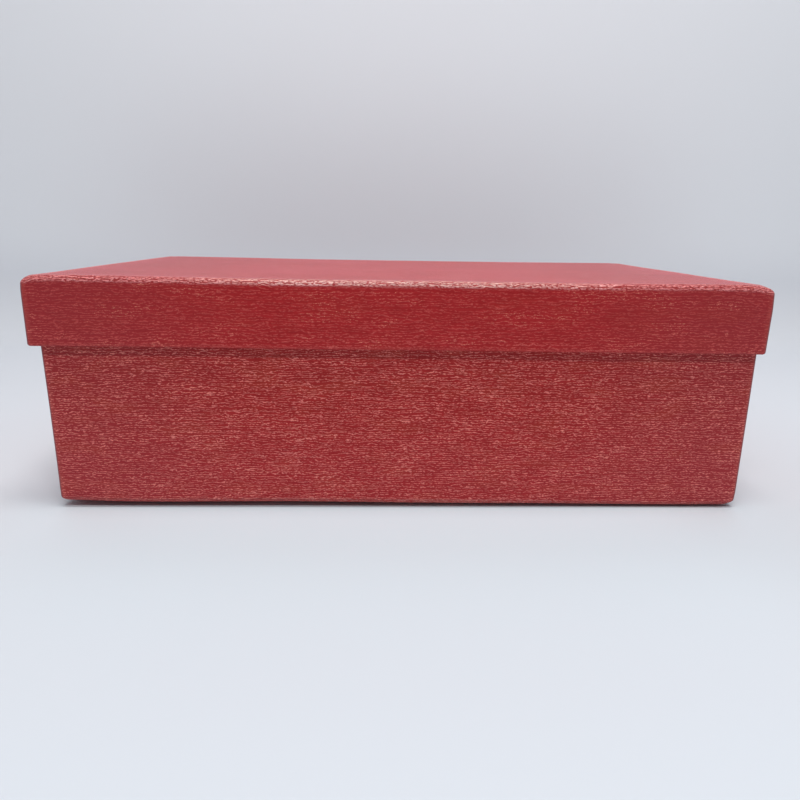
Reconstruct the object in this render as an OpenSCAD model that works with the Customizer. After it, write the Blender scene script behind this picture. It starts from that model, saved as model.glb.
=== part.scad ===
// Rigid set-up gift box: a deep base tray and a shallow lift-off lid.
// Each tray is a scored and folded greyboard blank, held at its corners by paper stays,
// covered by one sheet of embossed paper that turns in over the rim, and lined inside.
// X runs along the length, Y from front to back and Z up. The box stands on z = 0,
// with the lid on and the lid's middle over the origin.

/* [Base] */
// Outer length of the base, along X
base_l = 304; // [240:1:380]
// Outer width of the base, along Y
base_w = 184; // [140:1:260]
// Outer height of the base
base_h = 98.1; // [60:0.1:150]

/* [Lid] */
// Height of the lid's skirt, over its top
lid_h = 28.6; // [22:0.1:50]
// Air between the lid's lining and the base, on each side
lid_fit = 0.85; // [0.6:0.05:3]
// How far the lid has slid to the left on the base, within that air
lid_off = 0.5; // [0:0.1:0.5]

/* [Sheets] */
// Thickness of the greyboard
board_t = 1.5; // [1:0.1:3]
// Thickness of the embossed covering paper
wrap_t = 0.25; // [0.15:0.05:0.4]
// Thickness of the lining paper
liner_t = 0.15; // [0.1:0.05:0.3]
// Thickness of the paper tape that stays the corners
stay_t = 0.2; // [0.1:0.05:0.3]

/* [Folds] */
// Outer radius of the folds between a tray's panel and its walls
fold_r = 2.4; // [1.5:0.1:4]
// Outer radius of a tray's upright corners
corner_r = 1; // [1:0.1:3]
// Depth of the covering paper that is turned in over the rim
turn_in = 15; // [10:1:17]
// Distance from the rim down to the edge of the lining
liner_drop = 5; // [3:0.5:8]
// Width of a corner stay on each of its two walls
stay_leg = 12; // [8:1:20]
// Distance from a corner stay's ends to the fold and to the rim
stay_end = 1.5; // [1:0.5:3]

/* [Hidden] */
// Cover, board, turned-in cover and lining, one behind the other in the lid's wall
lid_wall = wrap_t + board_t + wrap_t + liner_t;
lid_l = base_l + 2 * (lid_wall + lid_fit);
lid_w = base_w + 2 * (lid_wall + lid_fit);
// The lid's lined top rests on the base's rim
box_h = base_h + wrap_t + board_t + liner_t;
// A cut runs this far past the face that it opens
over = 1;
$fn = 48;

// ---- Plain shapes ----

// Rectangle about the origin with rounded corners
module rounded_rect(l, w, r) {
    square([l - 2 * r, w], center = true);
    square([l, w - 2 * r], center = true);
    for (x = [-1, 1], y = [-1, 1])
        translate([x * (l / 2 - r), y * (w / 2 - r)])
            circle(r);
}

// Wall profile of a tray: rounded below, square above, from z = low to z = high
module side_profile(l, low, high, r) {
    translate([-l / 2, low + r])
        square([l, high - low - r]);
    translate([-l / 2 + r, low])
        square([l - 2 * r, high - low]);
    for (x = [-1, 1])
        translate([x * (l / 2 - r), low + r])
            circle(r);
}

// Block about the Z axis from z = low to z = high
module block(l, w, low, high) {
    translate([-l / 2, -w / 2, low])
        cube([l, w, high - low]);
}

// Upright prism with rounded corners
module prism(l, w, r, low, high) {
    translate([0, 0, low])
        linear_extrude(high - low)
            rounded_rect(l, w, r);
}

// ---- A tray, open upwards, with its outer size l, w, h ----

// Filled outer shape of the tray, drawn in by inset on every face but the rim
module tray_form(l, w, h, inset) {
    l_in = l - 2 * inset;
    w_in = w - 2 * inset;
    r = fold_r - inset;
    intersection() {
        prism(l_in, w_in, corner_r - inset, inset, h);
        translate([0, w / 2, 0])
            rotate([90, 0, 0])
                linear_extrude(w)
                    side_profile(l_in, inset, h, r);
        translate([-l / 2, 0, 0])
            rotate([90, 0, 90])
                linear_extrude(l)
                    side_profile(w_in, inset, h, r);
    }
}

// Cut for a corner stay's bed, on the corner towards side_x and side_y. It opens outwards,
// past the board's faces.
module stay_bed(l, w, h, side_x, side_y) {
    low = fold_r + stay_end;
    high = h - wrap_t - stay_end;
    inner = wrap_t + stay_t;
    difference() {
        translate([side_x * l / 2, side_y * w / 2, 0])
            block(2 * stay_leg, 2 * stay_leg, low, high);
        prism(l - 2 * inner, w - 2 * inner, corner_r - inner, low - over, high + over);
    }
}

// Corner stay, pressed into its bed flush with the board's faces
module tray_stay(l, w, h, side_x, side_y) {
    intersection() {
        stay_bed(l, w, h, side_x, side_y);
        prism(l - 2 * wrap_t, w - 2 * wrap_t, corner_r - wrap_t, 0, h);
    }
}

// Folded greyboard, with a shallow bed for each corner stay
module tray_board(l, w, h) {
    inside = 2 * (wrap_t + board_t);
    difference() {
        tray_form(l, w, h - wrap_t, wrap_t);
        block(l - inside, w - inside, wrap_t + board_t, h);
        for (x = [-1, 1], y = [-1, 1])
            stay_bed(l, w, h, x, y);
    }
}

// Covering paper: over the panel and the walls, over the rim and down inside by turn_in
module tray_wrap(l, w, h) {
    inside = 2 * (wrap_t + board_t);
    edge = h - turn_in;
    difference() {
        tray_form(l, w, h, 0);
        difference() {
            tray_form(l, w, h - wrap_t, wrap_t);
            block(l - inside, w - inside, edge, h);
        }
        block(l - inside - 2 * wrap_t, w - inside - 2 * wrap_t, edge - over, h + over);
    }
}

// Room inside the tray, drawn in by inset: against the board below the turned-in edge,
// and against the turned-in paper above it, up to z = top
module tray_room(l, w, h, inset, top) {
    floor_z = wrap_t + board_t + inset;
    low_in = 2 * (wrap_t + board_t + inset);
    high_in = low_in + 2 * wrap_t;
    block(l - low_in, w - low_in, floor_z, h - turn_in - inset);
    block(l - high_in, w - high_in, floor_z, top);
}

// Lining paper on the panel and the walls, lapped over the turned-in edge
module tray_liner(l, w, h) {
    difference() {
        tray_room(l, w, h, 0, h - liner_drop);
        tray_room(l, w, h, liner_t, h + over);
    }
}

// ---- The two trays in their places ----

module in_base() {
    translate([lid_off, 0, 0])
        children();
}

module in_lid() {
    translate([0, 0, box_h])
        mirror([0, 0, 1])
            children();
}

module base_board() {
    color("#b9b2a6") in_base() tray_board(base_l, base_w, base_h);
}

module base_stay(side_x, side_y) {
    color("#c49a6c") in_base() tray_stay(base_l, base_w, base_h, side_x, side_y);
}

module base_wrap() {
    color("#a8343a") in_base() tray_wrap(base_l, base_w, base_h);
}

module base_liner() {
    color("#f2efe8") in_base() tray_liner(base_l, base_w, base_h);
}

module lid_board() {
    color("#b9b2a6") in_lid() tray_board(lid_l, lid_w, lid_h);
}

module lid_stay(side_x, side_y) {
    color("#c49a6c") in_lid() tray_stay(lid_l, lid_w, lid_h, side_x, side_y);
}

module lid_wrap() {
    color("#a8343a") in_lid() tray_wrap(lid_l, lid_w, lid_h);
}

module lid_liner() {
    color("#f2efe8") in_lid() tray_liner(lid_l, lid_w, lid_h);
}

base_board();
base_stay(-1, -1);  // base_corner_stay_front_left
base_stay(1, -1);  // base_corner_stay_front_right
base_stay(-1, 1);  // base_corner_stay_back_left
base_stay(1, 1);  // base_corner_stay_back_right
base_wrap();
base_liner();
lid_board();
lid_stay(-1, -1);  // lid_corner_stay_front_left
lid_stay(1, -1);  // lid_corner_stay_front_right
lid_stay(-1, 1);  // lid_corner_stay_back_left
lid_stay(1, 1);  // lid_corner_stay_back_right
lid_wrap();
lid_liner();
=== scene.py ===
import math
from collections import namedtuple

import bpy
import numpy as np
from mathutils import Matrix, Vector


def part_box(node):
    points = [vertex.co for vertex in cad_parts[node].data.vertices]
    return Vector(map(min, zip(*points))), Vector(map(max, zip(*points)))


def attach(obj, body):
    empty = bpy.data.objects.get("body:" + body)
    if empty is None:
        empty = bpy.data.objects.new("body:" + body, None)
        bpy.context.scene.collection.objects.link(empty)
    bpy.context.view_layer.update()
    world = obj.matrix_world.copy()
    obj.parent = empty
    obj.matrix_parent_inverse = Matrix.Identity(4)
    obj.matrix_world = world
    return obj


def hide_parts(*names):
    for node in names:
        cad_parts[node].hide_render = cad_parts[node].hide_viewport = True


# A two-piece gift box: a deep base and a shallow lift-off lid. Each is a folded greyboard tray with
# taped corners, covered in red embossed paper and lined in white. Lengths are in metres.

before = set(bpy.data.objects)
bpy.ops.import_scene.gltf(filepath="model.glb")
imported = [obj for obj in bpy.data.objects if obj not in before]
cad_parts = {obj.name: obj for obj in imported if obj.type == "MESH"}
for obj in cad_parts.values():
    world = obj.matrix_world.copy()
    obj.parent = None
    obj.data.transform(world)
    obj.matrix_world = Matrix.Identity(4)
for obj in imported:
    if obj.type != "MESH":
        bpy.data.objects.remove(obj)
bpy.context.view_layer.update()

MM = 0.001
QUARTER = math.pi / 2      # a quarter of a turn


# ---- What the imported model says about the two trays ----

class Tray:
    """One tray of the box, in its own frame: panel at height 0, rim at height h.

    up is 1 for the base, which opens upwards, and -1 for the lid, which is turned over.
    """

    def __init__(self, body, up):
        wrap_low, wrap_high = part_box(body + "_wrap")
        board_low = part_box(body + "_board")[0]
        liner_low, liner_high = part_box(body + "_liner")
        self.body, self.up = body, up
        self.size = wrap_high - wrap_low
        self.mid = (wrap_low + wrap_high) / 2
        self.panel_z = wrap_low.z if up > 0 else wrap_high.z
        self.h = self.size.z
        self.wrap_t = board_low.x - wrap_low.x
        self.board_t = liner_low.x - board_low.x
        rim_z, liner_z = (wrap_high.z, liner_high.z) if up > 0 else (wrap_low.z, liner_low.z)
        self.liner_drop = abs(rim_z - liner_z)

    def place(self, local):
        """Points of the tray's own frame, put where the tray is."""
        out = np.array(local, float)
        out[:, 0] += self.mid.x
        out[:, 1] += self.mid.y
        out[:, 2] = self.panel_z + self.up * out[:, 2]
        return out


base = Tray("base", 1)
lid = Tray("lid", -1)

# Sizes that the model's boxes don't show, and those that only this scene needs
LINER_T = 0.15 * MM
STAY_T = 0.2 * MM
STAY_LEG = 12 * MM         # width of a corner stay on each wall
STAY_END = 1.5 * MM        # from a stay's ends to the fold and to the rim
BED_EDGE = 0.1 * MM        # width of the edges of a stay's bed in the board
TURN_IN = 15 * MM          # depth of the cover's turned-in edge
LAP_LOW = 0.6 * MM         # the lining leaves the board this far below the turned-in edge
LAP_HIGH = 0.2 * MM        # and lies on the turned-in paper this far above it
FOLD_R = 2.4 * MM          # outer radius between a panel and its walls
CORNER_R = 1.0 * MM        # outer radius of the upright corners
APEX_R = 1.9 * MM          # plan radius where three folded edges meet
INNER_R = 0.35 * MM        # corners seen from inside
RIM_R = 0.75 * MM          # paper turned over the rim
RIM_DRAW = 0.15 * RIM_R    # how much tighter the corners get over the rim
RIM_EASE = 0.2 * RIM_R     # how much rounder they are where the rim turns in
LINER_FOLD_R = 0.6 * MM    # lining between the floor and the walls
LINER_CORNER_R = 0.55 * MM         # the same, seen from above
SEAM_IN = 0.8 * MM         # where an end sheet is cut, from the upright corner
SEAM_STEP = 0.16 * MM      # how far it stands up over the tucked flap
SEAM_EDGE = 0.08 * MM      # width of the cut edge
FLAP = 11.2 * MM           # width of the tucked flap under it
FLAP_FADE = 1.8 * MM       # length in which the end sheet comes down past the flap
PANEL_IN = 3 * MM          # from a fold to the first line of the panel's grid
HAIR = 0.01 * MM           # less than lies between any two spots

ALONG, ACROSS, UP_WALL = 72, 44, 24   # divisions of a tray's length, width and walls
ARC = 6                               # divisions of an upright corner
COVER_FOLD, BOARD_FOLD = 8, 5         # divisions of a fold in the cover and in the board
SMALL_ARC = 4                         # divisions of the lining's fold, and of half the rim
TURN_IN_ROWS, LAP_ROWS = 5, 4         # rows on the turned-in edge, and of the lining on it
STAY_ROWS, INSIDE_ROWS = 10, 12       # rows of a stay and its bed, and of the board's inside
LINER_ROW = 5 * MM                    # height of a row of the lining


# ---- Grids, rings and sheets ----

# One ring round a tray: its inset from the cover's face, its height, the plan radius of its
# corners, how far along the flat sheet it lies, and how much of the seam's step and of the
# stays' bed it takes
Level = namedtuple("Level", "inset height radius run raised bed", defaults=(0.0, 0.0, 0.0))


def stops(half, count):
    """Places from -1 to 1 along a wall: close together at its corners, then evenly spaced."""
    close = [0, 0.4 * MM, SEAM_IN, SEAM_IN + SEAM_EDGE, 1.4 * MM, 2.1 * MM, 3.2 * MM, 4.8 * MM,
             6.8 * MM, 9 * MM, FLAP, STAY_LEG - BED_EDGE, STAY_LEG, FLAP + FLAP_FADE]
    close = np.array(close) / half
    middle = np.linspace(-1 + close[-1], 1 - close[-1], count)[1:-1]
    return np.concatenate([-1 + close, middle, 1 - close[::-1]])


def end_raise(inward):
    """Height of the end sheet over the board: up at the seam, down past the tucked flap."""
    places = [SEAM_IN, SEAM_IN + SEAM_EDGE, FLAP, FLAP + FLAP_FADE]
    return SEAM_STEP * np.interp(inward, places, [0, 1, 1, 0])


class Plan:
    """A tray's outline from above, as one ring of spots that every level shares.

    A spot is its side (0 front, 1 right, 2 back, 3 left), its place from -1 to 1 along that
    side and, on the upright corner after it, its turn round the corner.
    """

    def __init__(self, tray):
        self.half = np.array([tray.size.x, tray.size.y]) / 2
        flat = self.half - CORNER_R
        self.front, self.end = stops(flat[0], ALONG), stops(flat[1], ACROSS)
        turns = np.linspace(0, QUARTER, ARC + 1)[1:-1]
        self.spots = []
        for side in range(4):
            self.spots += [(side, t, None) for t in (self.end if side % 2 else self.front)]
            self.spots += [(side, 1.0, turn) for turn in turns]
        self.count = len(self.spots)
        side = np.array([spot[0] for spot in self.spots])
        turned = np.array([spot[2] is not None for spot in self.spots])
        reach = np.where(side % 2, flat[1], flat[0])
        inward = (1 - np.abs([spot[1] for spot in self.spots])) * reach
        self.on_end = (side % 2 == 1) & ~turned
        self.raised = np.where(self.on_end, end_raise(inward), 0)
        self.stayed = turned | (inward < STAY_LEG - BED_EDGE / 2)
        own = ~self.on_end | (inward < SEAM_IN + HAIR)
        self.front_family = own & np.roll(own, -1)

    def ring(self, level):
        """The ring's x and y at one level."""
        out = np.zeros((self.count, 2))
        for i, (side, t, turn) in enumerate(self.spots):
            half = self.half - level.inset - level.bed * self.stayed[i]
            flat = half - level.radius
            along, across = (flat[0], half[1]) if side % 2 == 0 else (flat[1], half[0])
            if turn is None:
                x, y = t * along, -(across + level.raised * self.raised[i])
            else:
                x = along + level.radius * math.sin(turn)
                y = -(across - level.radius) - level.radius * math.cos(turn)
            for _ in range(side):
                x, y = -y, x
            out[i] = x, y
        return out

    def grid(self, inset):
        """A flat panel's inner points, in rows from front to back."""
        x = self.front * (self.half[0] - inset)
        y = self.end * (self.half[1] - inset)
        return np.array([(i, j) for j in y for i in x])

    def joins(self):
        """For each spot of the ring, the point of the panel's grid that it joins."""
        columns, rows = len(self.front), len(self.end)
        out = []
        for side, t, turn in self.spots:
            line = self.end if side % 2 else self.front
            k = len(line) - 1 if turn is not None else int(np.argmin(np.abs(line - t)))
            i, j = [(k, 0), (columns - 1, k), (columns - 1 - k, rows - 1), (0, rows - 1 - k)][side]
            out.append(j * columns + i)
        return out


def ring_faces(low, high, count):
    """Quads between two rings whose first points are low and high."""
    return [(high + i, high + (i + 1) % count, low + (i + 1) % count, low + i)
            for i in range(count)]


def grid_faces(start, columns, rows):
    """Quads, facing up, of a grid that is stored row by row."""
    corners = [start + j * columns + i for j in range(rows - 1) for i in range(columns - 1)]
    return [(a, a + 1, a + columns + 1, a + columns) for a in corners]


def border_faces(ring_start, grid_start, joins):
    """Faces, facing up, between a panel's grid and its ring, with fans at the corners."""
    faces, count = [], len(joins)
    for i in range(count):
        n = (i + 1) % count
        a, b = grid_start + joins[i], grid_start + joins[n]
        outer = (ring_start + i, ring_start + n)
        faces.append((b, a, *outer) if a != b else (a, *outer))
    return faces


def flipped(faces):
    """The same faces, turned to face the other way."""
    return [face[::-1] for face in faces]


def fold_levels(outer_r, inset, steps):
    """A rounded fold from the panel's edge to the wall's foot, inset from the cover's face."""
    out = []
    for turn in QUARTER * np.arange(steps + 1) / steps:
        out_along, down = outer_r * (1 - math.sin(turn)), outer_r * (1 - math.cos(turn))
        radius = APEX_R + (CORNER_R - APEX_R) * math.sin(turn) - inset
        out.append(Level(inset + out_along, inset + down, max(radius, INNER_R), outer_r * turn,
                         math.sin(turn) ** 2))
    return out


def wrap_levels(tray):
    """The covering paper's face: fold, wall, over the rim, and down inside."""
    out = fold_levels(FOLD_R, 0.0, COVER_FOLD)
    deep = tray.wrap_t * 2 + tray.board_t
    top = tray.h - RIM_R
    run = out[-1].run
    for height in np.linspace(FOLD_R, top, UP_WALL + 1)[1:]:
        out.append(Level(0, height, CORNER_R, run + height - FOLD_R, 1.0))
    run = out[-1].run
    for turn in np.linspace(0, QUARTER, SMALL_ARC + 1)[1:]:
        radius = CORNER_R - RIM_DRAW * turn
        out.append(Level(RIM_R * (1 - math.cos(turn)), top + RIM_R * math.sin(turn), radius,
                         run + RIM_R * turn, math.cos(turn)))
    run = out[-1].run + deep - 2 * RIM_R
    for turn in np.linspace(0, QUARTER, SMALL_ARC + 1):
        radius = INNER_R + RIM_EASE * math.cos(turn)
        out.append(Level(deep - RIM_R * (1 - math.sin(turn)), tray.h - RIM_R * (1 - math.cos(turn)),
                         radius, run + RIM_R * turn))
    run = out[-1].run
    for down in np.linspace(0, TURN_IN - RIM_R, TURN_IN_ROWS + 1)[1:]:
        out.append(Level(deep, top - down, INNER_R, run + down))
    return out


def liner_levels(tray):
    """The lining's face: round the panel's edge, up the wall, over the turned-in edge."""
    foot = tray.wrap_t + tray.board_t + LINER_T
    edge = tray.h - TURN_IN
    out = []
    for turn in np.linspace(0, QUARTER, SMALL_ARC + 1):
        out_along, down = LINER_FOLD_R * (1 - math.sin(turn)), LINER_FOLD_R * (1 - math.cos(turn))
        out.append(Level(foot + out_along, foot + down, LINER_CORNER_R, LINER_FOLD_R * turn))
    start = out[-1].run - foot - LINER_FOLD_R
    rows = max(LAP_ROWS, int((edge - foot) / LINER_ROW))
    for height in np.linspace(foot + LINER_FOLD_R, edge - LAP_LOW, rows)[1:]:
        out.append(Level(foot, height, INNER_R, start + height))
    for height in np.linspace(edge + LAP_HIGH, tray.h - tray.liner_drop, LAP_ROWS):
        out.append(Level(foot + tray.wrap_t, height, INNER_R, start + height))
    return out


def board_levels(tray):
    """The greyboard's outer face with its beds for the stays, its rim and its inner face."""
    out = fold_levels(FOLD_R - tray.wrap_t, tray.wrap_t, BOARD_FOLD)
    radius = CORNER_R - tray.wrap_t
    top = tray.h - tray.wrap_t
    foot = tray.wrap_t + tray.board_t
    low, high = FOLD_R + STAY_END, top - STAY_END
    bed_rows = np.linspace(low, high, STAY_ROWS)
    for height in (low - BED_EDGE / 2, *bed_rows, high + BED_EDGE / 2, top):
        bed = STAY_T if low <= height <= high else 0.0
        out.append(Level(tray.wrap_t, height, radius, bed=bed))
    return out + [Level(foot, height, INNER_R) for height in np.linspace(top, foot, INSIDE_ROWS)]


def sheet_coordinates(plan, ring, level):
    """A ring's place on the flat sheet: on the front and back parts, and on the end parts."""
    sign = np.sign(ring)
    edge = plan.half - FOLD_R
    front = np.column_stack([ring[:, 0], sign[:, 1] * (edge[1] + level.run)])
    inward = np.where(plan.on_end, plan.half[1] - CORNER_R - np.abs(ring[:, 1]), 0)
    front[:, 0] += sign[:, 0] * np.clip(inward, 0, None)
    end = np.column_stack([sign[:, 0] * (edge[0] + level.run), ring[:, 1]])
    return front, end


class Sheet:
    """Points and faces of one piece, with their places on the flat sheet.

    Each point has two places there, front and end: one for the faces that belong to the panel
    with its front and back walls, and one for those of the two end walls. family says which.
    """

    def __init__(self, name):
        self.name, self.count = name, 0
        self.points, self.front, self.end = [], [], []
        self.faces, self.family = [], []

    def add_points(self, across, height, front, end):
        """Adds points at one height and gives the number of the first one."""
        first = self.count
        self.points.append(np.column_stack([across, np.full(len(across), height)]))
        self.front.append(front)
        self.end.append(end)
        self.count += len(across)
        return first

    def add_faces(self, faces, family=None):
        """Adds faces, which belong to the front's part unless family says otherwise."""
        self.faces += faces
        self.family += [True] * len(faces) if family is None else list(family)

    def add_panel(self, plan, inset, height):
        """Adds the grid of a flat panel."""
        grid = plan.grid(inset)
        return self.add_points(grid, height, grid, grid)

    def add_ring(self, plan, level):
        """Adds one ring of the walls or the folds."""
        ring = plan.ring(level)
        return self.add_points(ring, level.height, *sheet_coordinates(plan, ring, level))


def tray_sheet(name, plan, profile, panel_in, close_in=None):
    """A panel and a ring for each level; a solid also has a second panel at the end."""
    sheet = Sheet(name)
    size = len(plan.front), len(plan.end)
    joins = plan.joins()
    panel = sheet.add_panel(plan, panel_in, profile[0].height)
    sheet.add_faces(flipped(grid_faces(panel, *size)))
    last = sheet.add_ring(plan, profile[0])
    sheet.add_faces(flipped(border_faces(last, panel, joins)), plan.front_family)
    for level in profile[1:]:
        ring = sheet.add_ring(plan, level)
        sheet.add_faces(ring_faces(ring, last, plan.count), plan.front_family)
        last = ring
    if close_in is not None:
        panel = sheet.add_panel(plan, close_in, profile[-1].height)
        sheet.add_faces(grid_faces(panel, *size))
        sheet.add_faces(border_faces(last, panel, joins), plan.front_family)
    return sheet


def stay_sheet(name, tray, plan, side_x, side_y):
    """A strip of tape over one upright corner of the board."""
    sheet = Sheet(name)
    top = tray.h - tray.wrap_t - STAY_END
    last = None
    for height in np.linspace(FOLD_R + STAY_END, top, STAY_ROWS):
        ring = plan.ring(Level(tray.wrap_t, height, CORNER_R - tray.wrap_t))
        mine = plan.stayed & (np.sign(ring[:, 0]) == side_x) & (np.sign(ring[:, 1]) == side_y)
        order = np.flatnonzero(mine)
        # the ring starts within one of the corners, whose points then lie at both its ends
        gap = np.flatnonzero(np.diff(order) > 1)
        order = np.roll(order, -(gap[0] + 1)) if len(gap) else order
        first = sheet.add_points(ring[order], height, ring[order], ring[order])
        if last is not None:
            sheet.add_faces(ring_faces(first, last, len(order))[:-1])
        last = first
    return sheet


# ---- How the real trays are out of true ----

# Height of the base's front and back edges over the table, in mm, from its left to its right
FRONT_LIFT = ((-1.0, 1.0), (-0.8, 0.35), (-0.3, 0.95), (0.3, 0.55), (0.8, 0.4), (1.0, 0.6))
BACK_LIFT = ((-1.0, 1.2), (-0.3, 0.7), (0.5, 0.8), (1.0, 0.9))
# How far a corner of the panel is pressed in, and how far that reaches, in mm
PRESSED = {
    "lid": {(-1, -1): (0.8, 7), (1, -1): (0.95, 11), (-1, 1): (0.6, 7), (1, 1): (0.8, 8)},
    "base": {(-1, -1): (0.15, 5), (1, -1): (0.75, 6), (-1, 1): (0.5, 7), (1, 1): (0.4, 6)},
}
PRESSED_ASIDE = 0.3        # share of that depth by which the corner's walls move in too
RIM_CORNER = 1.3 * MM      # how far the rim's corners are rounded, seen from the side
LID_SAG = 0.6 * MM         # how far the lid's long folds dip in the middle
RIM_SAG = 0.48 * MM        # the same for the base's long rims
LID_RIDGE = 0.95 * MM      # how far the lid's front fold stands up, where the crease has sprung
RIDGE_FRONT, RIDGE_ENDS = 12, 20   # how steeply that falls off behind the fold and at its ends
WALL_BOW = 0.3 * MM        # how far the long walls stand out in the middle
END_BOW = 0.18 * MM        # the same for the end walls
BASE_SAG = 1.25 * MM       # how far the base's panel bulges down, so that its edges stand clear
BASE_ROCK = 0.005          # slope of the table under the bulging panel, down to the left
# Sideways shift of each tray at its panel, at its rim and between the two, in mm
LEAN = {"base": (0.6, -0.25, 0.25), "lid": (-0.05, -0.2, 0.0)}
WOBBLE = 0.1 * MM          # unevenness of the boards
WOBBLE_WAVES = (150, 95, 60)       # lengths of its waves, in mm
WOBBLE_SEED = {"base": 11, "lid": 41}


def wobble(p, seed):
    """A slow, smooth unevenness of the boards, between about -1 and 1."""
    rng = np.random.default_rng(seed)
    total = np.zeros(len(p))
    for wave in WOBBLE_WAVES:
        way = rng.normal(size=3)
        way /= np.linalg.norm(way)
        total += np.sin(p @ way * 2 * math.pi / (wave * MM) + rng.uniform(0, 6.28))
    return total / len(WOBBLE_WAVES)


def eased(share):
    """A share from 0 to 1 that starts and ends softly."""
    return share * share * (3 - 2 * share)


def between(spots, place):
    """A smooth curve through spots, read at each place."""
    at, value = np.array(spots).T
    k = np.clip(np.searchsorted(at, place) - 1, 0, len(at) - 2)
    t = eased(np.clip((place - at[k]) / (at[k + 1] - at[k]), 0, 1))
    return value[k] * (1 - t) + value[k + 1] * t


def foot_lift(across):
    """Height of the base's lower edge over the table."""
    back = (across[:, 1] + 1) / 2
    lift = between(FRONT_LIFT, across[:, 0]) * (1 - back) + between(BACK_LIFT, across[:, 0]) * back
    return lift * MM


def press_corners(p, half, pressed):
    """Pushes the panel's corners in towards the tray, as handling has done."""
    for (side_x, side_y), (depth, reach) in pressed.items():
        corner = np.array([side_x * half[0], side_y * half[1], 0])
        near = eased(np.clip(1 - np.linalg.norm(p - corner, axis=1) / (reach * MM), 0, 1))
        p[:, 2] += near * depth * MM
        p[:, 0] -= side_x * near * PRESSED_ASIDE * depth * MM
        p[:, 1] -= side_y * near * PRESSED_ASIDE * depth * MM


def round_rim_corners(p, half, rise):
    """Rounds the rim off at the upright corners, where the paper is folded thick."""
    inward = np.clip(RIM_CORNER - (half - np.abs(p[:, :2])).max(1), 0, RIM_CORNER)
    drop = RIM_CORNER - np.sqrt(RIM_CORNER ** 2 - inward ** 2)
    top_eighth = np.clip(rise * 8 - 7, 0, 1)
    p[:, 2] -= drop * top_eighth


def bow_walls(p, across, rise, at_walls):
    """Lets the walls stand out a little in the middle, most of all half-way up."""
    bow = at_walls * rise * (1.2 - rise) * 2
    p[:, 1] += np.sign(across[:, 1]) * (1 - across[:, 0] ** 2) * bow * WALL_BOW
    p[:, 0] += np.sign(across[:, 0]) * (1 - across[:, 1] ** 2) * bow * END_BOW


def settle_base(p, across, rise, at_walls):
    """Bulges the base's panel, lifts its edges off the table and lets its long rims dip."""
    at_panel = (1 - rise) ** 2
    p[:, 2] += foot_lift(across) * at_walls * at_panel
    bulge = np.prod(1 - np.clip(across, -1, 1) ** 4, axis=1) * at_panel
    p[:, 2] -= (BASE_SAG - BASE_ROCK * p[:, 0]) * bulge
    p[:, 2] -= RIM_SAG * (1 - across[:, 0] ** 2) * rise ** 4


def settle_lid(p, across, rise, near):
    """Lets the lid's long folds dip in the middle, and its front crease spring up."""
    p[:, 2] += LID_SAG * (1 - across[:, 0] ** 2) * (1 - rise) * (0.6 + 0.4 * near)
    at_front = np.clip(-across[:, 1], 0, 1) ** RIDGE_FRONT
    off_ends = 1 - np.clip(across[:, 0], -1, 1) ** RIDGE_ENDS
    p[:, 2] -= LID_RIDGE * at_front * off_ends * (1 - rise) ** 2


def out_of_true(tray, local):
    """Moves a tray's points the way its boards have set and handling has left them."""
    p = np.array(local, float)
    half = np.array([tray.size.x, tray.size.y]) / 2
    across = p[:, :2] / half                          # -1 to 1, from wall to wall
    rise = np.clip(p[:, 2] / tray.h, 0, 1)            # 0 at the panel, 1 at the rim
    near = np.clip(np.abs(across).max(1), 0, 1)       # 0 in the panel's middle, 1 at the walls
    at_walls = near ** 3
    round_rim_corners(p, half, rise)
    bow_walls(p, across, rise, at_walls)
    press_corners(p, half, PRESSED[tray.body])
    if tray is base:
        settle_base(p, across, rise, at_walls)
    else:
        settle_lid(p, across, rise, near)
    at_panel, at_rim, midway = LEAN[tray.body]
    p[:, 0] += (at_panel * (1 - rise) + at_rim * rise + midway * 4 * rise * (1 - rise)) * MM
    for axis in range(3):
        p[:, axis] += WOBBLE * wobble(local, WOBBLE_SEED[tray.body] + axis)
    return p


def build_object(sheet, tray, material, thickness=0.0):
    """Makes a piece of the box from its sheet, in place and on its body."""
    local = np.concatenate(sheet.points)
    placed = tray.place(out_of_true(tray, local))
    faces = flipped(sheet.faces) if tray.up < 0 else sheet.faces
    mesh = bpy.data.meshes.new(sheet.name)
    mesh.from_pydata(placed.tolist(), [], faces)
    index = np.zeros(len(mesh.loops), int)
    mesh.loops.foreach_get("vertex_index", index)
    family = np.repeat(sheet.family, [len(face) for face in faces])[:, None]
    flat = np.where(family, np.concatenate(sheet.front)[index], np.concatenate(sheet.end)[index])
    mesh.uv_layers.new(name="sheet").uv.foreach_set("vector", flat.astype(np.float32).ravel())
    mesh.polygons.foreach_set("use_smooth", [True] * len(mesh.polygons))
    mesh.materials.append(material)
    piece = bpy.data.objects.new(sheet.name, mesh)
    bpy.context.scene.collection.objects.link(piece)
    if thickness:
        paper = piece.modifiers.new("thickness", "SOLIDIFY")
        paper.thickness = thickness
        paper.offset = -1
    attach(piece, tray.body)
    return piece


# ---- Shader maths ----

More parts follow.
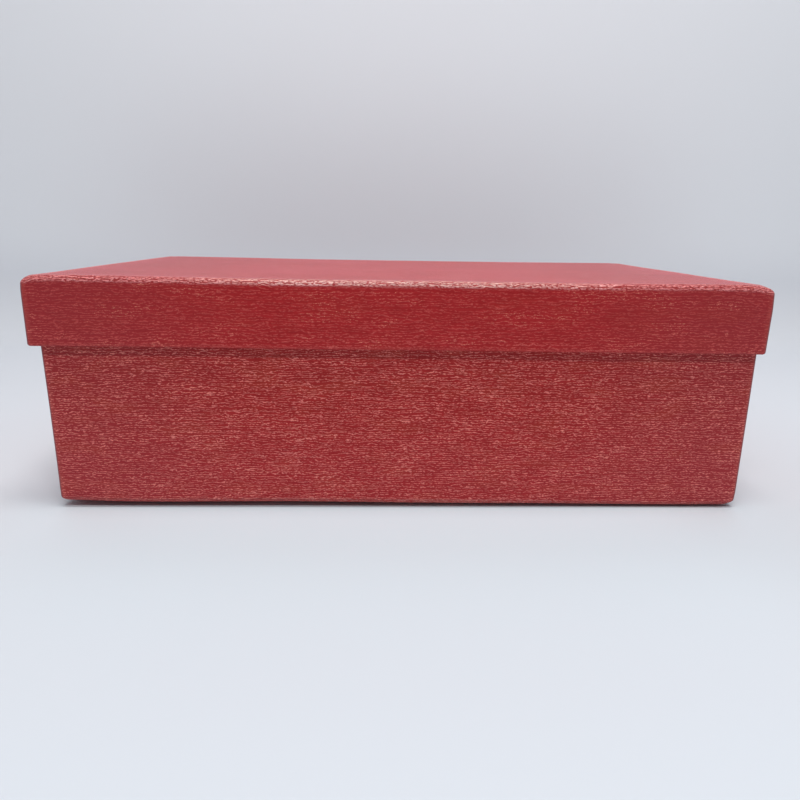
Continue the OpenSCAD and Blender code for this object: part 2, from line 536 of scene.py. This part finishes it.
class Value:
    """A shader socket that takes part in Python arithmetic by adding Math nodes."""

    def __init__(self, paint, socket):
        self.paint, self.socket = paint, socket

    def __add__(self, other):
        return self.paint.maths("ADD", self, other)

    __radd__ = __add__

    def __sub__(self, other):
        return self.paint.maths("SUBTRACT", self, other)

    def __rsub__(self, other):
        return self.paint.maths("SUBTRACT", other, self)

    def __mul__(self, other):
        return self.paint.maths("MULTIPLY", self, other)

    __rmul__ = __mul__

    def __truediv__(self, other):
        return self.paint.maths("DIVIDE", self, other)

    def __rtruediv__(self, other):
        return self.paint.maths("DIVIDE", other, self)

    def step(self, low, high):
        """0 where this is below low, 1 above high, with a soft change between."""
        return self.paint.node("ShaderNodeMapRange", {"interpolation_type": "SMOOTHSTEP"},
                               {"Value": self, "From Min": low, "From Max": high})

    def band(self, start, end):
        """1 between two soft changes, each a pair of values, and 0 outside them."""
        return self.step(*start) * (1 - self.step(*end))

    def raised(self, low):
        """A share from 0 to 1, squeezed to run from low to 1."""
        return low + (1 - low) * self

    def axis(self, letter):
        """One coordinate of a place."""
        return self.paint.node("ShaderNodeSeparateXYZ", None, {0: self}, letter)


# A noise pattern: its cells' length and width, where it starts, and how fine and rough it gets
Pattern = namedtuple("Pattern", "long short start detail roughness", defaults=(2.0, 0.5))


class Paint:
    """One material with a Principled shader, and the nodes that are added to it."""

    def __init__(self, name, ior=1.45):
        self.material = bpy.data.materials.new(name)
        self.material.use_nodes = True
        self.tree = self.material.node_tree
        self.shader = self.tree.nodes["Principled BSDF"]
        self.feed("IOR", ior)

    def give(self, socket, value):
        """Links a value to a socket, or sets the socket to a number, a colour or a vector."""
        if isinstance(value, Value):
            self.tree.links.new(value.socket, socket)
        else:
            socket.default_value = value

    def feed(self, name, value):
        """Gives a value to the shader's socket of that name."""
        self.give(self.shader.inputs[name], value)

    def node(self, kind, settings=None, inputs=None, output=0):
        """One node: its settings first, then the values or links of its sockets."""
        made = self.tree.nodes.new(kind)
        for key, value in (settings or {}).items():
            setattr(made, key, value)
        for key, value in (inputs or {}).items():
            self.give(made.inputs[key], value)
        return Value(self, made.outputs[output])

    def maths(self, operation, *values):
        """A Math node."""
        return self.node("ShaderNodeMath", {"operation": operation}, dict(enumerate(values)))

    def vectors(self, operation, *values, output=0):
        """A Vector Math node."""
        return self.node("ShaderNodeVectorMath", {"operation": operation},
                         dict(enumerate(values)), output)

    def mix(self, share, first, second):
        """A blend of two colours by a share from 0 to 1."""
        return self.node("ShaderNodeMix", {"data_type": "RGBA"},
                         {"Factor": share, 6: first, 7: second}, output=2)

    def noise(self, place, scale=1.0, detail=2.0, roughness=0.5):
        """Smooth noise from 0 to 1."""
        return self.node("ShaderNodeTexNoise", {"noise_dimensions": "3D"},
                         {"Vector": place, "Scale": scale, "Detail": detail,
                          "Roughness": roughness})

    def pattern(self, place, kind, start=0.0):
        """Noise in one of the patterns, started further along for another seed."""
        start += kind.start
        cells = self.vectors("MULTIPLY_ADD", place, (1 / kind.long, 1 / kind.short, 0),
                             (start, start * 1.7, 0))
        return self.noise(cells, detail=kind.detail, roughness=kind.roughness)

    def bump(self, height, depth, strength=1.0):
        """A relief that is depth high where height is 1."""
        return self.node("ShaderNodeBump", None,
                         {"Strength": strength, "Distance": depth, "Height": height})


# ---- The red covering paper ----

# One tray's paper: its reds (darkest and lightest ground, and ridges), the size of a grain cell
# in mm, how a ridge's edges fade, and where on the grain the sheet starts. Then shares: of the
# ridges' red, of more of it by the rim and on the panel, of a paler tint at the ends, of warm
# patches, of painted light over the walls' foot, and of wear and painted glints on the folds.
Paper = namedtuple("Paper", "name reds cell edges start ridges rim_ridges panel_ridges dust "
                            "warmth foot wear")

BASE_PAPER = Paper(
    name="red_paper_base",
    reds=((0.345, 0.006, 0.006, 1), (0.46, 0.017, 0.017, 1), (0.88, 0.235, 0.205, 1)),
    cell=0.72, edges=(0.01, 0.13), start=(371.0, 113.0),
    ridges=0.95, rim_ridges=0.04, panel_ridges=0.06, dust=0.6, warmth=0.26, foot=0.104, wear=0.2)
LID_PAPER = Paper(
    name="red_paper_lid",
    reds=((0.375, 0.009, 0.011, 1), (0.465, 0.016, 0.019, 1), (0.74, 0.13, 0.115, 1)),
    cell=0.8, edges=(0.01, 0.16), start=(912.0, 639.0),
    ridges=0.44, rim_ridges=0.2, panel_ridges=0.3, dust=0.76, warmth=0.1, foot=0.0, wear=1.0)

RUBBED_AND_SHEEN_RED = (0.46, 0.07, 0.06, 1)     # worn, with a painted sheen, at the upright corners; worn on the folds
RIM_GLINT_RED = (0.75, 0.13, 0.11, 1)        # painted glints along the rim
PAINTED_LIGHT_RED = (0.6, 0.06, 0.1, 1)        # painted sheen over the panel; also painted light over the walls' foot
END_TINT_RED = (0.34, 0.026, 0.032, 1)    # towards the ends
WARM_RED = (0.43, 0.05, 0.02, 1)       # in broad, faint patches
SHADED_RED = (0.3, 0.08, 0.085, 1)     # along the very corner
GLINT_RIDGE_RED = (1.0, 0.46, 0.4, 1)       # painted glints on the grain's ridges over the folds
FAR_GLINT_RIDGE_RED = (1.0, 0.3, 0.3, 1)    # the same painted glints, dimmer towards the ends
GOLDEN_GLINT = (0.95, 0.5, 0.3, 1)           # painted golden glints on a few ridges, in clusters

# Where the sheet's zones start and end, each as a soft change between two places. The places are
# in mm past the start of the fold between the panel and the walls, and below 0 on the panel.
NEAR_FOLD = (-24.0, -4.0)
FOLD_START, FOLD_END = (-4.5, -0.5), (3.3, 4.6)
CREST_END = (3.2, 4.5)
POLISH_FADE = (2.9, 4.4)
PANEL_END = (-1.2, 0.6)
FOOT_START, FOOT_END = (1.0, 5.0), (8.0, 55.0)
# For the upright corners, first past the nearer fold's start, then past the further one's
CORNER_IN, CORNER_UP = (-1.0, 1.0), (1.5, 3.5)
BRINK_IN, BRINK_UP = (1.1, 1.7), (2.5, 4.0)
# In mm from the rim, below 0 on the wall
RIM_START, RIM_END = (-0.9, -0.1), (0.1, 0.9)
LOWER_WALL = (-14.0, -1.0)
# In mm from the sheet's middle, along it
ENDS = (50.0, 150.0)
FAR_FROM_MIDDLE = (30.0, 110.0)

PAPER_IOR = 1.34
BURNISHED_IOR, BURNISHED_ROUGHNESS = 2.65, 0.16        # where folds are handled
RIDGE_HEIGHT = 0.07 * MM

# Patterns of the paper, in grain cells
SWAY = Pattern(17, 6, 3.1, 1.0)        # slow bends of many ridges together
DRIFT = Pattern(4.2, 2.2, 0.0, 1.0)    # bends of a single ridge
RIPPLE = Pattern(1.5, 1.2, 7.3, 0.0)   # its small kinks
BREAKS = Pattern(1.6, 0.8, 21.0, 1.0)  # where it breaks off
SPARKLE = Pattern(0.7, 0.35, 29.5, 1.0, 0.6)
CLOUD = Pattern(26, 10, 33.0, 3.0)
BLOTCH = Pattern(6, 1.8, 61.0)
RUB = Pattern(3.5, 3.0, 71.0)
WARM_PATCH = Pattern(34, 13, 52.0)
STREAK = Pattern(90, 35, 18.0, 3.0, 0.7)

# Two sets of ridges that cross: the distance between ridges in grain cells, how much they sway
# together, how far the second set is shifted, and where the two sets' noise starts
RidgePair = namedtuple("RidgePair", "pitch sway shift starts")
FINE_RIDGES = RidgePair(2.7, 1.2, 0.43, (11.7, 47.9))
FOLD_RIDGES = RidgePair(1.7, 2.0, 0.4, (83.0, 97.0))
FOLD_RIDGE_EDGES = (0.06, 0.25)
DRIFT_BEND, RIPPLE_BEND = 0.85, 0.22   # how far those patterns bend a ridge, in ridge distances
UNBROKEN = (0.4, 0.54)                 # from where to where in BREAKS a ridge comes up
BREAK_REST = 0.05                      # what is left of a ridge where it breaks off


class Grain:
    """The paper's leather grain and its uneven colour, as shares from 0 to 1."""

    def __init__(self, paint, paper):
        self.paint = paint
        cell = 1 / (paper.cell * MM)
        place = paint.node("ShaderNodeUVMap", {"uv_map": "sheet"})
        self.place = paint.vectors("MULTIPLY_ADD", place, (cell, cell, 0), (*paper.start, 0.0))
        self.up = self.place.axis("Y")
        self.sway = self.noise(SWAY)
        self.veins = self.ridges(FINE_RIDGES, paper.edges)
        self.coarse = self.ridges(FOLD_RIDGES, FOLD_RIDGE_EDGES)
        self.sparkle = self.noise(SPARKLE)
        self.cloud = self.noise(CLOUD)
        self.tone = (self.cloud * 0.4 + self.noise(BLOTCH) * 0.6).step(0.32, 0.7)
        self.rub = self.noise(RUB).step(0.35, 0.65)
        self.warm = self.noise(WARM_PATCH).step(0.5, 0.68)
        self.streak = self.noise(STREAK).step(0.22, 0.78)

    def noise(self, pattern, start=0.0):
        """One of the patterns, over the whole sheet."""
        return self.paint.pattern(self.place, pattern, start)

    def lines(self, phase, start, edges):
        """1 on broken, gently wavering lines along the grain and 0 between them."""
        phase = phase + self.noise(DRIFT, start) * DRIFT_BEND
        phase = phase + self.noise(RIPPLE, start) * RIPPLE_BEND
        gap = self.paint.maths("PINGPONG", phase, 0.5)
        unbroken = self.noise(BREAKS, start).step(*UNBROKEN)
        return (1 - gap.step(*edges)) * unbroken.raised(BREAK_REST)

    def ridges(self, pair, edges):
        """Two sets of lines that cross."""
        phase = self.up / pair.pitch + self.sway * pair.sway
        first, second = pair.starts
        return self.paint.maths("MAXIMUM", self.lines(phase, first, edges),
                                self.lines(phase + pair.shift, second, edges))


class Zones:
    """Where a spot lies on a tray's covering sheet, as shares from 0 to 1."""

    def __init__(self, paint, tray):
        place = paint.node("ShaderNodeUVMap", {"uv_map": "sheet"})
        spot = paint.vectors("ABSOLUTE", place)
        half = tray.size / 2
        along = (spot.axis("X") - (half.x - FOLD_R)) / MM
        across = (spot.axis("Y") - (half.y - FOLD_R)) / MM
        further = paint.maths("MAXIMUM", along, across)
        nearer = paint.maths("MINIMUM", along, across)
        from_rim = further - (tray.h + (QUARTER - 1) * FOLD_R - RIM_R) / MM
        from_middle = along + (half.x - FOLD_R) / MM
        self.panel = 1 - further.step(*PANEL_END)
        self.near_fold = further.step(*NEAR_FOLD)
        self.fold = further.band(FOLD_START, FOLD_END)
        self.crest = further.band(FOLD_START, CREST_END)
        self.upper_fold = 1 - further.step(*POLISH_FADE)
        self.foot = further.band(FOOT_START, FOOT_END)
        self.corner = nearer.step(*CORNER_IN) * further.step(*CORNER_UP)
        self.brink = nearer.step(*BRINK_IN) * further.step(*BRINK_UP)
        self.rim = from_rim.band(RIM_START, RIM_END)
        self.lower_wall = from_rim.step(*LOWER_WALL)
        self.ends = from_middle.step(*ENDS)
        self.central = 1 - from_middle.step(*FAR_FROM_MIDDLE)


def paper_colour(paint, paper, grain, zones):
    """The paper's colour, as coats that cover each other: each one's share and its red."""
    ground, light_ground, ridge_red = paper.reds
    # Painted sheen over the panel, in streaks and stronger near the fold, where the top reflects the
    # pale backdrop
    painted_sheen = zones.panel * (0.06 + 0.4 * grain.streak + zones.near_fold * 0.12)
    # Wear on the folds; at the upright corners, wear with a painted sheen along the edge
    worn_and_sheen = paint.maths("MAXIMUM", zones.corner * (0.4 + 0.5 * grain.rub),
                       zones.fold * grain.rub * 0.4)
    # Painted glints where the rim's rounded edge would catch the light, broken by the grain
    rim_glints = zones.rim * grain.rub * grain.sparkle.step(0.4, 0.65)
    bright = grain.veins * (0.1 + 1.9 * grain.sparkle)
    patches = 0.84 + 0.3 * grain.cloud.step(0.35, 0.65)
    ridges = (paper.ridges + zones.lower_wall * paper.rim_ridges
              + zones.panel * paper.panel_ridges)
    # Painted glints on the ridges over the folds, brightest in the middle, under the overhead lamp
    glint_ridges = zones.crest * paper.wear * grain.coarse * zones.central.raised(0.85)
    glint_red = paint.mix(zones.central * zones.upper_fold, FAR_GLINT_RIDGE_RED, GLINT_RIDGE_RED)
    golden_glints = grain.veins * grain.sparkle.step(0.58, 0.68) * grain.cloud.step(0.5, 0.62)
    coats = (
        (grain.tone, light_ground),
        # a paler, pinker tint towards the ends
        (zones.ends * paper.dust, END_TINT_RED),
        (grain.warm * paper.warmth, WARM_RED),
        # painted light: the panel's sheen, and a lighter foot on the base's walls where the floor
        # lights them
        (painted_sheen + zones.foot * paper.foot, PAINTED_LIGHT_RED),
        (worn_and_sheen * 0.65, RUBBED_AND_SHEEN_RED),
        (rim_glints * 0.7, RIM_GLINT_RED),
        (bright * patches * (1 - 0.1 * zones.ends) * ridges, ridge_red),
        (glint_ridges * (0.5 + 1.5 * grain.sparkle), glint_red),
        (golden_glints * 0.8, GOLDEN_GLINT),
        (zones.brink * 0.8, SHADED_RED),
    )
    colour = ground
    for share, red in coats:
        colour = paint.mix(share, colour, red)
    return colour


def paper_relief(paint, grain, zones):
    """The grain's ridges, which stand higher where the paper is stretched over a fold."""
    ridges = paint.maths("MAXIMUM", grain.veins * 0.8, grain.coarse * zones.fold)
    height = ridges + grain.sparkle * (0.3 + zones.fold * 0.5)
    return paint.bump(height * (1 + zones.fold * 1.5), RIDGE_HEIGHT)


def embossed_paper(tray, paper):
    """Red covering paper with a fine leather grain, burnished where its folds are handled."""
    paint = Paint(paper.name, PAPER_IOR)
    grain = Grain(paint, paper)
    zones = Zones(paint, tray)
    colour = paper_colour(paint, paper, grain, zones)
    relief = paper_relief(paint, grain, zones)
    paint.feed("Base Color", colour)
    paint.feed("Normal", relief)
    paint.feed("Roughness", 0.36 - grain.veins * 0.12 + grain.sparkle * 0.06)
    burnished = paint.node("ShaderNodeBsdfPrincipled", None,
                           {"Base Color": colour, "Normal": relief, "IOR": BURNISHED_IOR,
                            "Roughness": BURNISHED_ROUGHNESS})
    polish = zones.fold * zones.upper_fold.raised(0.6) * paper.wear
    polish = polish * grain.coarse.raised(0.04) * zones.central.raised(0.3)
    plain = Value(paint, paint.shader.outputs["BSDF"])
    surface = paint.node("ShaderNodeMixShader", None, {0: polish, 1: plain, 2: burnished})
    output = paint.tree.nodes["Material Output"]
    paint.give(output.inputs["Surface"], surface)
    return paint.material


# ---- The plain papers and the board ----

TOOTH = 0.06 * MM          # height of the fibres on a plain paper
TOOTH_SHARE = 0.35         # how much of it shows


def plain_paper(name, colour, shade, fibre):
    """Uncoated paper or board: faint clouds of a shade, a slight tooth, and fibre grains a metre."""
    paint = Paint(name)
    place = paint.node("ShaderNodeTexCoord", output="Object")
    clouds = paint.noise(place, scale=60.0, detail=4.0)
    grit = paint.noise(place, scale=fibre, detail=3.0, roughness=0.7)
    paint.feed("Base Color", paint.mix(clouds * 0.5 + grit.step(0.45, 0.75) * 0.4, colour, shade))
    paint.feed("Roughness", 0.72 + grit * 0.2)
    paint.feed("Normal", paint.bump(grit, TOOTH, TOOTH_SHARE))
    return paint.material


RED_PAPER = {"base": embossed_paper(base, BASE_PAPER), "lid": embossed_paper(lid, LID_PAPER)}
WHITE_PAPER = plain_paper("white_lining_paper", (0.82, 0.8, 0.755, 1), (0.74, 0.71, 0.65, 1), 900)
GREYBOARD = plain_paper("greyboard", (0.4, 0.375, 0.335, 1), (0.25, 0.235, 0.21, 1), 700)
KRAFT_TAPE = plain_paper("kraft_tape", (0.5, 0.33, 0.18, 1), (0.38, 0.24, 0.12, 1), 1100)


# ---- The box ----

def cover(tray, plan):
    """The covering paper of one tray."""
    sheet = tray_sheet(tray.body + "_cover", plan, wrap_levels(tray), FOLD_R + PANEL_IN)
    piece = build_object(sheet, tray, RED_PAPER[tray.body], tray.wrap_t)
    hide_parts(tray.body + "_wrap")


def lining(tray, plan):
    """The white lining, which faces the inside of the tray."""
    foot = tray.wrap_t + tray.board_t + LINER_T
    sheet = tray_sheet(tray.body + "_lining", plan, liner_levels(tray), foot + PANEL_IN)
    sheet.faces = flipped(sheet.faces)
    piece = build_object(sheet, tray, WHITE_PAPER, LINER_T)
    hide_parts(tray.body + "_liner")


def greyboard(tray, plan):
    """The folded board between the cover and the lining."""
    sheet = tray_sheet(tray.body + "_greyboard", plan, board_levels(tray),
                       FOLD_R + PANEL_IN, tray.wrap_t + tray.board_t + PANEL_IN)
    piece = build_object(sheet, tray, GREYBOARD)
    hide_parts(tray.body + "_board")


def corner_stay(tray, plan, end, side_x, side_y):
    """The tape that holds one corner of the board."""
    sheet = stay_sheet(tray.body + "_stay_" + end, tray, plan, side_x, side_y)
    piece = build_object(sheet, tray, KRAFT_TAPE, STAY_T)
    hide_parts(tray.body + "_corner_stay_" + end)


CORNERS = {"front_left": (-1, -1), "front_right": (1, -1),
           "back_left": (-1, 1), "back_right": (1, 1)}
for tray in (base, lid):
    plan = Plan(tray)
    cover(tray, plan)
    lining(tray, plan)
    greyboard(tray, plan)
    for end, sides in CORNERS.items():
        corner_stay(tray, plan, end, *sides)


# ---- Floor, light and camera ----

FLOOR_REACH = 1.6                  # how far the floor reaches to each side
FLOOR_ROWS = (-2.4, -1.0, 0.0)     # the floor's front edge, and lines across it
WALL_Y, WALL_H = 0.36, 1.5         # place and height of the backdrop
WALL_BEND, BEND_STEPS = 0.07, 16   # radius between the floor and the backdrop, and its divisions

FLOOR_FAR = (0.742, 0.768, 0.822, 1)       # far to the sides
FLOOR_MID = (0.735, 0.785, 0.85, 1)        # in front of the box
FLOOR_AGAINST_BOUNCE = (0.752, 0.865, 0.94, 1)      # next to the box: painted greener, against the red light that the box throws
# painted shadow under the box and to its right
FLOOR_SHADE = (0.1, 0.1, 0.1, 1)
WALL_PALE = (0.84, 0.865, 0.91, 1)
WALL_PAINTED_SHADOW = (0.715, 0.715, 0.755, 1)     # painted shadow right behind the box

# Where that paint changes softly, in metres
FOOT_HALF = (0.15, 0.09, 0.0)              # half the size of the box's foot
CONTACT_SHADOW_REACH, CLOSE_BY = (0.002, 0.016), (0.02, 0.13)         # from the foot's edge: painted shadow under the box, and the greener tint by it
MIDDLE = (0.08, 0.2)                                   # to the sides, from the middle
RIGHT_SIDE, RIGHT_REACH = (0.11, 0.16), (0.0, 0.16)    # painted shadow: to the right, and from the foot's edge
BEHIND_ASIDE, BEHIND_UP = (0.12, 0.42), (0.1, 0.32)    # painted shadow: to the sides, and up the backdrop
WALL_START = (0.03, 0.12)                              # up from the floor


def sweep():
    """A pale floor that bends up into a backdrop behind the box."""
    side = [(y, 0.0) for y in (*FLOOR_ROWS, WALL_Y - WALL_BEND)]
    for a in np.linspace(0, QUARTER, BEND_STEPS + 1)[1:]:
        side.append((WALL_Y - WALL_BEND + WALL_BEND * math.sin(a),
                     WALL_BEND - WALL_BEND * math.cos(a)))
    side.append((WALL_Y, WALL_H))
    points = [(x, y, z - BASE_SAG + BASE_ROCK * x) for y, z in side
              for x in (-FLOOR_REACH, FLOOR_REACH)]
    faces = [(2 * i, 2 * i + 1, 2 * i + 3, 2 * i + 2) for i in range(len(side) - 1)]
    mesh = bpy.data.meshes.new("floor_sweep")
    mesh.from_pydata(points, [], faces)
    mesh.polygons.foreach_set("use_smooth", [True] * len(mesh.polygons))
    floor = bpy.data.objects.new("floor_sweep", mesh)
    bpy.context.scene.collection.objects.link(floor)
    mesh.materials.append(pale_paint())


def floor_colour(paint, place, beside):
    """Faintly bluish, painted greener by the box against the red light that it throws, with painted
    shadow under the box and to its right.
    """
    past_box = paint.vectors("SUBTRACT", beside, FOOT_HALF)
    past_box = paint.vectors("MAXIMUM", past_box, (0.0, 0.0, 0.0))
    away = paint.vectors("LENGTH", past_box, output="Value")
    middle = 1 - beside.axis("X").step(*MIDDLE)
    # Painted greener by the box, to cancel the red light that it throws on the floor
    close = (1 - away.step(*CLOSE_BY)) * middle
    # Painted shadow under the box's edge, and to its right
    painted_contact_shadow = (1 - away.step(*CONTACT_SHADOW_REACH)) * (0.03 + 0.05 * middle)
    painted_shadow_right = place.axis("X").step(*RIGHT_SIDE) * (1 - away.step(*RIGHT_REACH)) * 0.065
    colour = paint.mix(middle, FLOOR_FAR, FLOOR_MID)
    colour = paint.mix(close, colour, FLOOR_AGAINST_BOUNCE)
    return paint.mix(painted_contact_shadow + painted_shadow_right, colour, FLOOR_SHADE)


def wall_colour(paint, place, beside, height):
    """Paler than the floor, with a soft cloud of painted shadow low behind the box."""
    clouds = paint.noise(place, scale=3.0, detail=2.0) - 0.5
    # Painted shadow of the box, low on the backdrop behind it
    painted_shadow = 1 - (beside.axis("X") + clouds * 0.1).step(*BEHIND_ASIDE)
    painted_shadow = painted_shadow * (1 - (height + clouds * 0.04).step(*BEHIND_UP))
    return paint.mix(painted_shadow, WALL_PALE, WALL_PAINTED_SHADOW)


def pale_paint():
    """The floor's and the backdrop's matt paint."""
    paint = Paint("pale_floor")
    place = paint.node("ShaderNodeTexCoord", output="Object")
    beside = paint.vectors("ABSOLUTE", place)
    height = place.axis("Z")
    floor = floor_colour(paint, place, beside)
    wall = wall_colour(paint, place, beside, height)
    paint.feed("Base Color", paint.mix(height.step(*WALL_START), floor, wall))
    paint.feed("Roughness", 0.6)
    paint.feed("Specular IOR Level", 0.2)
    return paint.material


def area_light(name, place, aim, size, power, colour):
    """A soft rectangular lamp that faces aim."""
    lamp = bpy.data.lights.new(name, "AREA")
    lamp.shape = "RECTANGLE"
    lamp.size, lamp.size_y = size
    lamp.energy = power
    lamp.color = colour
    holder = bpy.data.objects.new(name, lamp)
    holder.location = place
    holder.rotation_euler = (Vector(aim) - Vector(place)).to_track_quat("-Z", "Y").to_euler()
    bpy.context.scene.collection.objects.link(holder)


def world_light(strength, colour):
    """Even light from all around."""
    world = bpy.data.worlds.new("studio")
    world.use_nodes = True
    back = world.node_tree.nodes["Background"]
    back.inputs["Color"].default_value = (*colour, 1)
    back.inputs["Strength"].default_value = strength
    bpy.context.scene.world = world


CAMERA_PLACE = (-0.00859, -0.36034, 0.12088)
CAMERA_PITCH, CAMERA_YAW, CAMERA_ROLL = 14.95, -1.666, -0.996     # degrees
SENSOR, LENS = 36.0, 28.9305                                      # mm


def camera():
    """A camera in front of the box, low and close, tipped down at it."""
    pitch, yaw, roll = (math.radians(a) for a in (CAMERA_PITCH, CAMERA_YAW, CAMERA_ROLL))
    right = Vector((math.cos(yaw), math.sin(yaw), 0))
    level = Vector((-math.sin(yaw), math.cos(yaw), 0))
    ahead = level * math.cos(pitch) - Vector((0, 0, math.sin(pitch)))
    down = ahead.cross(right)
    right, down = (math.cos(roll) * right + math.sin(roll) * down,
                   math.cos(roll) * down - math.sin(roll) * right)
    lens = bpy.data.cameras.new("camera")
    lens.sensor_width = SENSOR
    lens.lens = LENS
    lens.clip_start = 0.01
    holder = bpy.data.objects.new("camera", lens)
    turn = Matrix((right, -down, -ahead)).transposed()
    holder.matrix_world = Matrix.Translation(CAMERA_PLACE) @ turn.to_4x4()
    bpy.context.scene.collection.objects.link(holder)
    bpy.context.scene.camera = holder


sweep()
area_light("overhead", place=(0.075, -0.25, 1.35), aim=(0.045, -0.15, 0.0), size=(0.62, 0.3),
           power=9.2, colour=(1.0, 0.985, 0.96))
area_light("front_light", place=(0.0, -0.97, 1.5), aim=(0.0, 0.0, 0.05), size=(1.2, 0.1),
           power=9.2, colour=(1.0, 1.0, 1.0))
world_light(strength=0.18, colour=(0.93, 0.96, 1.0))
camera()
bpy.context.scene.view_settings.view_transform = "Standard"
